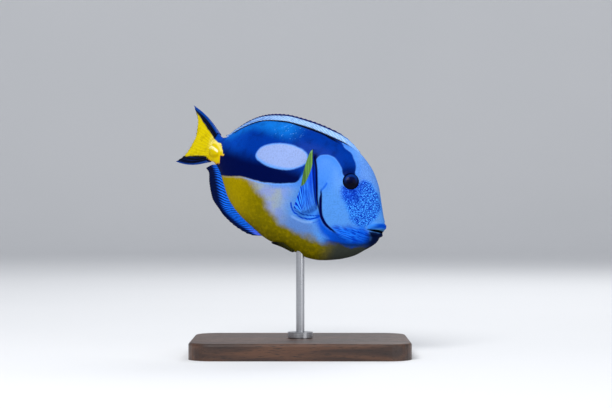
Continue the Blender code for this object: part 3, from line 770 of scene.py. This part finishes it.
def dress(pieces, ground, *layers):
    """Gives the open material its colour, and the material to some pieces."""
    fill(shader, {"Base Color": layered(ground, *layers)})
    for piece in pieces:
        piece.data.materials.clear()
        piece.data.materials.append(material)


def pair(name):
    return [bpy.data.objects[name + word] for _, word in SIDES]


def open_group(name, output, **inputs):
    """Opens a node group with one output and with number inputs set to their usual values."""
    global tree
    tree = bpy.data.node_groups.new(name, "ShaderNodeTree")
    for key, value in inputs.items():
        tree.interface.new_socket(name=key, in_out="INPUT", socket_type=NUMBER).default_value = value
    tree.interface.new_socket(name=output, in_out="OUTPUT", socket_type=NUMBER)
    return tree, tree.nodes.new("NodeGroupInput").outputs


def close_group(value):
    fill(tree.nodes.new("NodeGroupOutput"), {0: value})


# %% [markdown]
# ## Shared effects
#
# Nearly every marking has an edge that wanders a little. It is a node group: built once and set
# differently at each use. So are the freckled web and the fine scales.

# %% Group: the edge of a marking
edge_group, given = open_group("marking_edge", "Mask", Distance=0, Softness=0.3, Wander=0.2, Size=0.004)
sway = compute("SUBTRACT", noise(compute("DIVIDE", 1, given["Size"]), 3), 0.5)
moved = compute("ADD", given["Distance"], times(sway, times(given["Wander"], 4)))
close_group(ramp(compute("DIVIDE", moved, given["Softness"]), -1, 1))


def edge(name, softness, wander, size=0.004):
    """The mask of one marking, by the distance kept under its name."""
    inputs = {"Distance": kept(name), "Softness": softness, "Wander": wander, "Size": size}
    return add("Group", inputs, node_tree=edge_group)["Mask"]


def line(name, half_width, softness):
    """The mask of a line, its half width in millimetres."""
    low, high = [compute(way, half_width, softness) for way in ("SUBTRACT", "ADD")]
    return ramp(name, low, high, 1, 0)


# %% Group: web of freckles
WEB_SWAY = 0.0016
web_group, given = open_group("freckle_web", "Web", Size=0.0011)
finer = compute("DIVIDE", 1, given["Size"])
warp = add("TexNoise", {"Vector": here(), "Scale": times(finer, 0.7), "Detail": 1})["Color"]
pushed = add("VectorMath", {0: warp, 1: (0.5, 0.5, 0.5)}, operation="SUBTRACT")[0]
scaled = add("VectorMath", {0: pushed, "Scale": WEB_SWAY}, operation="SCALE")[0]
shifted = add("VectorMath", {0: here(), 1: scaled}, operation="ADD")[0]
cells = add("TexVoronoi", {"Vector": shifted, "Scale": finer}, feature="DISTANCE_TO_EDGE")[0]
close_group(ramp(cells, 0.02, 0.26, 1, 0))

# %% Group: fine scales
scale_group, given = open_group("fine_scales", "Height", Size=0.0006)
finer = compute("DIVIDE", 1, given["Size"])
close_group(add("TexVoronoi", {"Vector": here(), "Scale": finer}, feature="SMOOTH_F1")[0])
print("node groups:", [group.name for group in bpy.data.node_groups])

# %% [markdown]
# ## The painted skin
#
# The living colours lie in layers: a light blue ground that turns lilac towards the tail, the blue jaw
# and yellow belly, the dark palette with its pale oval, the freckled face, the yellow knob beside the
# tail, and dark lines along gill slit, shoulder and back. The material lays them in that order, as a
# model painter would spray and then pencil them on. by_s() and by_t() are masks that grow along the
# fish and up its flank. Some layers are painted light and shade: a darker underside of the belly, a
# wider blue rim at the oval's lower edge, shade below the eye and in the mouth's gap, a highlight and
# shade on the tail knob, and deeper blue in the creases under the pectoral fin. The gloss is faint,
# as it is under water.

# %% Skin colours
FOREHEAD = (98, 150, 224)
CHEEK = (76, 138, 216)
BREAST = (84, 124, 190)
DEEP_BLUE = (2, 62, 172)
LILAC = (144, 156, 166)
LILAC_BLUE = (126, 142, 200)
THROAT = (52, 56, 50)
PALETTE_LIGHT = (12, 108, 202)
PALETTE_MID = (0, 48, 144)
PALETTE_DARK = (0, 9, 62)
PALETTE_FLECK = (96, 164, 240)
OVAL_PALE = (138, 160, 212)
OVAL_RIM = (96, 152, 234)
YELLOW_BELLY = (146, 128, 0)
OLIVE = (110, 100, 0)
OLIVE_PAINTED_SHADE = (84, 76, 0)
OLIVE_FLECK = (196, 172, 0)
INK = (0, 1, 12)
FRECKLE = (0, 34, 160)
FACE = (58, 154, 254)
YELLOW = (208, 184, 0)
CHIN_DARK = (2, 14, 50)
LIP_LIGHT = (48, 132, 230)
LIP_BLUE = (0, 62, 172)
INNER_TEAL = (34, 78, 98)
JAW_LIGHT = (24, 110, 230)
JAW_DARK = (0, 50, 176)
LINE_NAVY = (0, 2, 66)
AMBER = (212, 150, 10)
KNOB_PALE = (240, 226, 120)

open_material("wet_fish_skin", Coat_Weight=0.01, Coat_Roughness=0.2, Specular_IOR_Level=0.01)
by_s, by_t, _ = [partial(ramp, place_here) for place_here in add("SeparateXYZ", {0: kept("lie", "Vector")})]

# %% Ground, jaw and belly
mottle, patches, grain = noise(220, 4), noise(600, 3), noise(1500, 2)
lilac = blend(ramp(mottle, 0.36, 0.62, 0, 0.8), LILAC, LILAC_BLUE)
jaw_blue = layered(
    (6, 78, 198), (by_s(0.24, 0.17), DEEP_BLUE),
    (times(by_s(0.23, 0.19), ramp("belly", -2.2, -0.6)), (10, 44, 104)))
# Painted shade: the belly is painted a darker olive towards its underside.
olive = layered(
    OLIVE, (by_s(0.52, 0.7), YELLOW_BELLY), (by_t(-0.2, -0.3), OLIVE_PAINTED_SHADE),
    (ramp(patches, 0.42, 0.75, 0, 0.16), OLIVE_FLECK), (by_s(0.25, 0.16), THROAT))
colour = layered(
    CHEEK, (by_t(-0.03, 0.13), FOREHEAD),
    (times(by_s(0.24, 0.32), by_t(-0.13, -0.18)), BREAST),
    (times(by_s(0.375, 0.49), by_t(0, -0.05)), lilac),
    (times(by_s(0.25, 0.2), ramp("belly", -2.6, -1.6)), (6, 60, 150)),
    (edge("jaw_band", by_s(0.17, 0.24, 0.8, 1.7), 0.4), jaw_blue),
    (edge("belly", by_s(0.15, 0.26, 1.1, 2.4), 1.3, 0.005), olive))

# %% Palette and oval
low_band = times(by_t(0.055, by_s(0.52, 0.7, 0, -0.02)), by_s(0.398, 0.416))
band_front = times(by_s(0.414, 0.396), by_t(0.05, 0.03))
rear_back = times(by_s(0.62, 0.76), ramp("back_line", 6.5, 1.5), 0.85)
fleck_zone = times(by_s(0.46, 0.51), by_s(0.64, 0.59), by_t(0.13, 0.16))
flecks = times(ramp(noise(1100, 1), 0.66, 0.7, 0, 0.6), fleck_zone)
near_fin = times(ramp("shoulder_line", 2.6, 0.4), by_t(0.095, 0.12))
near_eye = times(ramp("eye_reach", 2.6, 1.2), 0.8)
palette = layered(
    PALETTE_MID, (by_t(0.12, 0.19), PALETTE_LIGHT), (by_s(0.58, 0.46), PALETTE_MID),
    (by_s(0.69, 0.78), (2, 62, 166)), (rear_back, (8, 98, 194)), (flecks, PALETTE_FLECK),
    (ramp(mottle, 0.45, 0.75, 0, 0.35), PALETTE_DARK), (low_band, PALETTE_DARK),
    (band_front, (6, 92, 204)), (compute("MAXIMUM", near_fin, near_eye), PALETTE_DARK))
below_palette = times(ramp("palette", -3.4, -0.6), by_s(0.6, 0.48), 0.75)
beside_palette = compute("ABSOLUTE", compute("ADD", kept("palette"), 0.4))
palette_rim = times(ramp(beside_palette, 0.5, 0.1), by_s(0.4, 0.46), by_s(0.72, 0.56, 0.12, 0.8),
                    by_t(0, -0.03))
colour = layered(
    colour, (below_palette, (70, 132, 222)), (palette_rim, OVAL_RIM),
    (edge("palette", 0.35, 0.2, 0.003), palette), (edge("oval", 0.5, 0.15, 0.003), OVAL_RIM),
    # Painted shade: at the oval's lower edge the pale middle stops further in, leaving a wider blue rim
    # there.
    (ramp("oval", 0.1, by_t(0.05, 0.01, 0.9, 2.6)), OVAL_PALE),
    (ramp(grain, 0.4, 0.75, 0, 0.16), INK))

# %% Face, mouth and tail knob
face_mask = edge("face", 1.3, 0.8)
face = blend(times(by_s(0.13, 0.19), by_t(-0.03, 0.01)), FACE, (18, 96, 222))
web = add("Group", {"Size": 0.00086}, node_tree=web_group)["Web"]
brow = times(by_s(0.22, 0.19), by_t(0.03, 0.08), 0.28)
streak_map = add("Mapping", {"Vector": kept("lie", "Vector"), "Scale": (30, 230, 30),
                             "Rotation": (0, 0, 0.08)})[0]
streaked = layered(
    JAW_LIGHT, (ramp(noise(1, 2, streak_map), 0.42, 0.58), JAW_DARK),
    (by_s(0.12, 0.085, 0, 0.5), (0, 60, 184)))
lip_blue = layered(
    LIP_LIGHT, (edge("upper_lip", 1.2, 0), LIP_BLUE), (by_s(0.035, 0.07, 0, 0.75), (52, 132, 230)))
# On the tail knob a pale streak along its top is a painted highlight, and a darker ochre crescent below it
# is painted shade.
yellow = layered(
    YELLOW, (ramp("tail_patch", 1, 0.1, 0, 0.75), blend(by_t(-0.02, 0), AMBER, KNOB_PALE)),
    (times(line("knob_foot", 0.7, 0.7), 0.7), (166, 138, 0)),
    (times(line("knob_crest", 0.6, 0.6), 0.7), KNOB_PALE),
    (line("knob_light", 0.45, 0.45), (255, 246, 200)))
colour = layered(
    colour, (times(face_mask, 0.8), face),
    (times(web, compute("MAXIMUM", face_mask, brow)), FRECKLE),
    # Painted shade: a deep blue streak just below the eye.
    (times(ramp("smear", 1.5, 0.3), 0.5), (0, 40, 150)),
    (edge("streaked_jaw", 2, 0.6), streaked), (edge("upper_lip", 0.5, 0.1), lip_blue),
    (edge("chin", by_t(-0.12, -0.1, 2.4, 0.5), 0.2, 0.002), CHIN_DARK),
    # Painted shade: the gap between the lips is painted near black, as shade inside the open mouth.
    (line("inner_lip", 0.28, 0.2), INNER_TEAL), (edge("mouth_gap", 0.18, 0.05), INK),
    (edge("tail_patch", 0.35, 0.55, 0.0015), yellow))

# %% Gill cover, folds and lines
fin_pad = times(by_s(0.385, 0.35), by_s(0.285, 0.305), by_t(-0.155, -0.135), by_t(-0.07, -0.1), 0.8)
upper_cover = times(by_s(0.25, 0.31), by_t(-0.04, 0.03), ramp("palette", 0, -0.8, 0, 0.5))
spur = times(line("gill_slit", 0.42, 0.35), by_t(-0.03, -0.01), 0.75)
slit_half = times(by_t(-0.01, -0.05, 0.3, 0.72), by_s(0.19, 0.26, 0.5, 1))
slit = times(line("gill_slit", slit_half, 0.25), by_t(-0.004, -0.016), by_s(0.185, 0.21))
scales = add("Group", {"Size": 0.0007}, node_tree=scale_group)["Height"]
fill(shader, {"Roughness": ramp(mottle, 0.3, 0.7, 0.34, 0.46), "Normal": bumped(scales, 0.35, 0.00006)})
dress(
    [skin], colour, (fin_pad, (58, 136, 236)),
    (times(line("pale_fold", 0.5, 0.5), 0.6), (128, 168, 226)),
    # Painted shade: the creases under the pectoral fin are painted deeper blue along their bottoms.
    (ramp("folds", 0.1, 0.7), (0, 64, 184)), (upper_cover, (30, 112, 220)),
    (edge("armpit", 0.5, 0.2), (0, 56, 196)),
    (line("shoulder_line", by_t(-0.1, 0, 0.3, 0.5), 0.25), LINE_NAVY),
    (spur, (4, 84, 204)), (slit, LINE_NAVY),
    (times(line("back_line", 0.45, 0.3), by_s(0.3, 0.36)), INK), (ramp("eye_reach", 1.07, 1.02), INK))
print("skin nodes:", len(tree.nodes))

# %% [markdown]
# ## Fin finishes
#
# All the fins share one build, made by one function: a membrane colour, a ray colour on the ridges and
# an edge band. The bands that belong to one fin alone are laid over it afterwards.

# %% Fin materials


def fin_material(name, membrane, ray, edge_colour, edge_from, ray_strength, edge_softness=0.08):
    """Opens a thin membrane with rays and a coloured edge, ready for further bands."""
    open_material(name, Coat_Weight=0.02, Coat_Roughness=0.3, Specular_IOR_Level=0.02)
    blotch, outward = noise(500, 3), kept("along")
    joints = ramp(compute("SINE", times(outward, 150)), -1, 1, 0.8, 1)
    fill(shader, {"Normal": bumped(times(kept("rays"), joints), 0.5, 0.0001),
                  "Roughness": ramp(blotch, 0.3, 0.7, 0.36, 0.5)})
    return layered(
        membrane, (ramp("rays", 0.45, 0.95, 0, ray_strength), ray),
        (ramp(blotch, 0.45, 0.75, 0, 0.3), edge_colour),
        (ramp(outward, edge_from - edge_softness, edge_from + edge_softness), edge_colour))


# On the dorsal fin the pale ray colour is a painted highlight along its pleated rays.
tone = fin_material("dorsal_membrane", (146, 186, 230), (204, 220, 242), (2, 14, 84), 0.79, 0.85, 0.05)
gaps = times(ramp("rays", 0.45, 0.12), ramp("share", 0.5, 0.72, 0.15, 0.8), ramp("along", 0.8, 0.74))
dress(
    [dorsal], tone, (gaps, (52, 108, 190)), (ramp("along", 0.3, 0.18), (0, 2, 40)),
    (ramp("share", 0.12, 0.03, 0, 0.85), (112, 160, 228)))

tone = fin_material("anal_membrane", (18, 102, 228), (18, 102, 228), INK, 0.8, 0, 0.05)
darkness = compute("MULTIPLY_ADD", kept("along"), 1.2, kept("rays"))
violet = times(ramp("share", 0.16, 0.02), ramp("along", 0.6, 0.3, 0, 0.6))
dress(
    [anal], tone, (ramp("along", 0.3, 0.7), (8, 76, 200)),
    (ramp(darkness, 0.48, 0.84, 0, 0.97), (0, 4, 36)),
    (ramp("along", 0.14, 0.02, 0, 0.35), (40, 98, 176)), (violet, (86, 100, 228)))

tone = fin_material("tail_membrane", INK, (0, 40, 120), (3, 6, 20), 0.9, 0.5)
cream = times(ramp("along", 0.3, 0.02), ramp("share", 0.62, 0.4), 0.8)
gold = layered(
    (204, 184, 0), (ramp("rays", 0.2, 0.95, 0, 0.3), (222, 204, 4)),
    (cream, (240, 226, 130)), (ramp(noise(280, 1), 0.5, 0.68, 0, 0.45), (172, 150, 0)))
outer_rays = compute("MAXIMUM", ramp("share", 0.13, 0.08), ramp("share", 0.93, 0.96))
# Painted highlight: a thin blue line along the outermost rays of both tail lobes.
rim = times(compute("MAXIMUM", ramp("share", 0.07, 0.04), ramp("share", 0.97, 0.99)), 0.8)
dress([tail], tone, (edge("tail_patch", 0.5, 0.3, 0.003), gold), (outer_rays, (0, 8, 44)),
      (rim, (0, 64, 156)))

tone = fin_material("pectoral_membrane", (48, 132, 236), (76, 156, 246), (10, 80, 210), 1.2, 0.9)
across = add("CombineXYZ", {0: times(kept("share"), 20), 1: times(kept("along"), 1.6)})[0]
bands = noise(1, 1, across)
phase = compute("MULTIPLY_ADD", kept("share"), 92, times(bands, 8))
stripes = times(ramp(compute("SINE", phase), -0.3, 0.4), ramp("along", 0, 0.25, 0.6, 1))
green = blend(ramp(bands, 0.4, 0.62), (100, 142, 64), (66, 100, 48))
dress(
    pair("pectoral_fin_skin_"), tone, (times(ramp("along", 0.4, 0.1), 0.5), (84, 164, 248)),
    (stripes, (0, 36, 172)),
    (times(ramp("share", 0.42, 0.12), ramp("along", 0.2, 0.5), 0.6), (0, 40, 196)),
    (ramp("past_green", -0.02, 0.02), green),
    (times(ramp("along", 0.95, 1), ramp("share", 0.16, 0.08), 0.6), (120, 168, 160)),
    (ramp("share", 0.035, 0.01), (0, 14, 80)))

tone = fin_material("pelvic_membrane", (40, 40, 12), (66, 62, 16), (6, 8, 16), 0.7, 0.5)
dress(pair("pelvic_fin_skin_"), tone)
print("fin materials:", [made.name for made in bpy.data.materials if "membrane" in made.name])

# %% [markdown]
# ## Eye, spine and stand finishes
#
# The eye is nearly black, with a dark blue iris. Pupil and iris are painted lighter towards the top
# and darker below, as painted light from above and painted shade beneath. The spine is smooth bone.
# The base is oiled walnut, whose figure is stretched noise. Rod and collar are brushed steel: fine
# scratches round the bar, from noise squeezed along its length.

# %% Eye and spine
LIT_BELOW, LIT_ABOVE = 0.0018, 0.0034
open_material("eye_dome", Coat_Weight=0.06, Coat_Roughness=0.04, Roughness=0.5, Specular_IOR_Level=0.03)
eye_level = float(place(bare_skin(EYE_PLACE[0], angle_at(*EYE_PLACE, -1)))[2])
height = add("SeparateXYZ", {0: here()})[2]
# Painted light: pupil and iris are lighter towards the top of the eye and darker below, as light from above
# would show them.
lit = ramp(height, eye_level - LIT_BELOW, eye_level + LIT_ABOVE)
pupil = blend(lit, (0, 1, 16), (0, 8, 60))
iris = blend(lit, (0, 2, 22), (2, 40, 112))
dress(pair("eyeball_"), pupil, (ramp("from_axis", 0.42, 0.6), iris),
      (ramp("from_axis", 0.72, 0.88), (0, 2, 20)))

open_material("spine_bone", Coat_Weight=0.2, Coat_Roughness=0.2, IOR=1.45)
cloud = noise(700)
fill(shader, {"Roughness": ramp(cloud, 0.3, 0.7, 0.25, 0.4)})
dress(pair("tail_spine_"), (242, 230, 130), (cloud, (228, 208, 60)))

# %% Walnut and steel
SCRATCHES = 9000
open_material("oiled_walnut", Coat_Weight=0.15, Coat_Roughness=0.3, IOR=1.5)
stretched, pore_map = [add("Mapping", {"Vector": here(), "Scale": (length, across, across)})[0]
                       for length, across in ((18, 150), (260, 3200))]
figure, pores = noise(1, 6, stretched, 0.8), noise(1, 2, pore_map)
fill(shader, {"Roughness": ramp(pores, 0.4, 0.7, 0.42, 0.6), "Normal": bumped(pores, 0.3, 0.00005)})
dress([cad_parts["stand_base"]], (84, 54, 36), (ramp(figure, 0.35, 0.68), (44, 26, 18)),
      (ramp(pores, 0.56, 0.7), (24, 14, 10)))

open_material("brushed_steel", Metallic=1)
off_axis = add("VectorMath", {0: here(), 1: (1, 1, 0)}, operation="MULTIPLY")[0]
radius = add("VectorMath", {0: off_axis}, operation="LENGTH")["Value"]
height = add("SeparateXYZ", {0: here()})[2]
turned = add("CombineXYZ", {0: times(radius, SCRATCHES), 1: times(height, SCRATCHES)})[0]
scratch = noise(1, 3, turned)
fill(shader, {"Roughness": ramp(scratch, 0.3, 0.7, 0.24, 0.38), "Normal": bumped(scratch, 0.15, 0.00003)})
dress([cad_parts[node] for node in ("stand_rod", "stand_collar")],
      (150, 152, 156), (scratch, (205, 206, 210)))

# %% [markdown]
# ## Floor, light and camera
#
# A plain pale floor that curves up all round, like a shallow bowl, keeps the eye on the model. A large
# soft light from high on the left stands for the flash, a second fills the shadows and a third rims the
# back. The camera stands level, as far off as the framing of the photograph implies.

# %% Floor that curves up all round
FLAT_RADIUS = 1.9
SWEEP_RADIUS = 0.8
FLOOR_RADIUS = FLAT_RADIUS + SWEEP_RADIUS * math.pi / 2
bpy.ops.mesh.primitive_plane_add(size=2 * FLOOR_RADIUS)
floor = bpy.context.object
floor.name = "floor_sweep"
edit(bpy.ops.mesh.subdivide, number_cuts=95)
for vertex in floor.data.vertices:
    reach = max(abs(vertex.co.x), abs(vertex.co.y))
    off = max(math.hypot(vertex.co.x, vertex.co.y), 1e-9)
    rise = max(reach - FLAT_RADIUS, 0) / SWEEP_RADIUS
    new_reach = min(reach, FLAT_RADIUS) + SWEEP_RADIUS * math.sin(rise)
    vertex.co.x *= new_reach / off
    vertex.co.y *= new_reach / off
    vertex.co.z = SWEEP_RADIUS * (1 - math.cos(rise))
bpy.ops.object.shade_smooth()
open_material("pale_floor", Roughness=0.9)
dress([floor], (222, 224, 226), (noise(3), (228, 229, 231)))

# %% Lights
ROOM_COLOUR = (0.86, 0.9, 1, 1)
ROOM_STRENGTH = 0.32
AT_FISH = (0, 0, 0.08)
LIGHTS = [("key", (-0.35, -0.85, 0.95), 0.6, 16, AT_FISH), ("fill", (0.9, -0.8, 0.35), 0.8, 3.5, AT_FISH),
          ("rim", (0.3, 0.75, 0.8), 0.5, 4, AT_FISH),
          ("backdrop_wash", (0, 0.9, 1.9), 1.2, 11, (0, 2.6, 0.2))]
scene = bpy.context.scene
for name, spot, size, power, aim in LIGHTS:
    light = bpy.data.lights.new(name, "AREA")
    light.size, light.energy = size, power
    lamp = bpy.data.objects.new(name, light)
    scene.collection.objects.link(lamp)
    lamp.location = spot
    lamp.rotation_euler = (Vector(spot) - Vector(aim)).to_track_quat("Z", "Y").to_euler()
world = bpy.data.worlds.new("soft_room")
scene.world = world
world.use_nodes = True
fill(world.node_tree.nodes["Background"], {0: ROOM_COLOUR, 1: ROOM_STRENGTH})
scene.view_settings.view_transform = "Standard"

# %% Camera
CAMERA_AWAY = 0.9
SENSOR = 36
PHOTO_WIDTH = 612
PIXEL = 0.000478
SNOUT_PIXEL = (80, 25.5)
snout = place([0, LIP_LEVEL, 0])
camera_data = bpy.data.cameras.new("camera")
camera_data.sensor_width = SENSOR
camera_data.lens = SENSOR * CAMERA_AWAY / (PHOTO_WIDTH * PIXEL)
camera = bpy.data.objects.new("camera", camera_data)
scene.collection.objects.link(camera)
camera.location = (snout[0] - SNOUT_PIXEL[0] * PIXEL, snout[1] - CAMERA_AWAY,
                   snout[2] + SNOUT_PIXEL[1] * PIXEL)
camera.rotation_euler = (math.radians(90), 0, 0)
scene.camera = camera
print("camera at", [round(value, 4) for value in camera.location], "lens", round(camera_data.lens, 1))
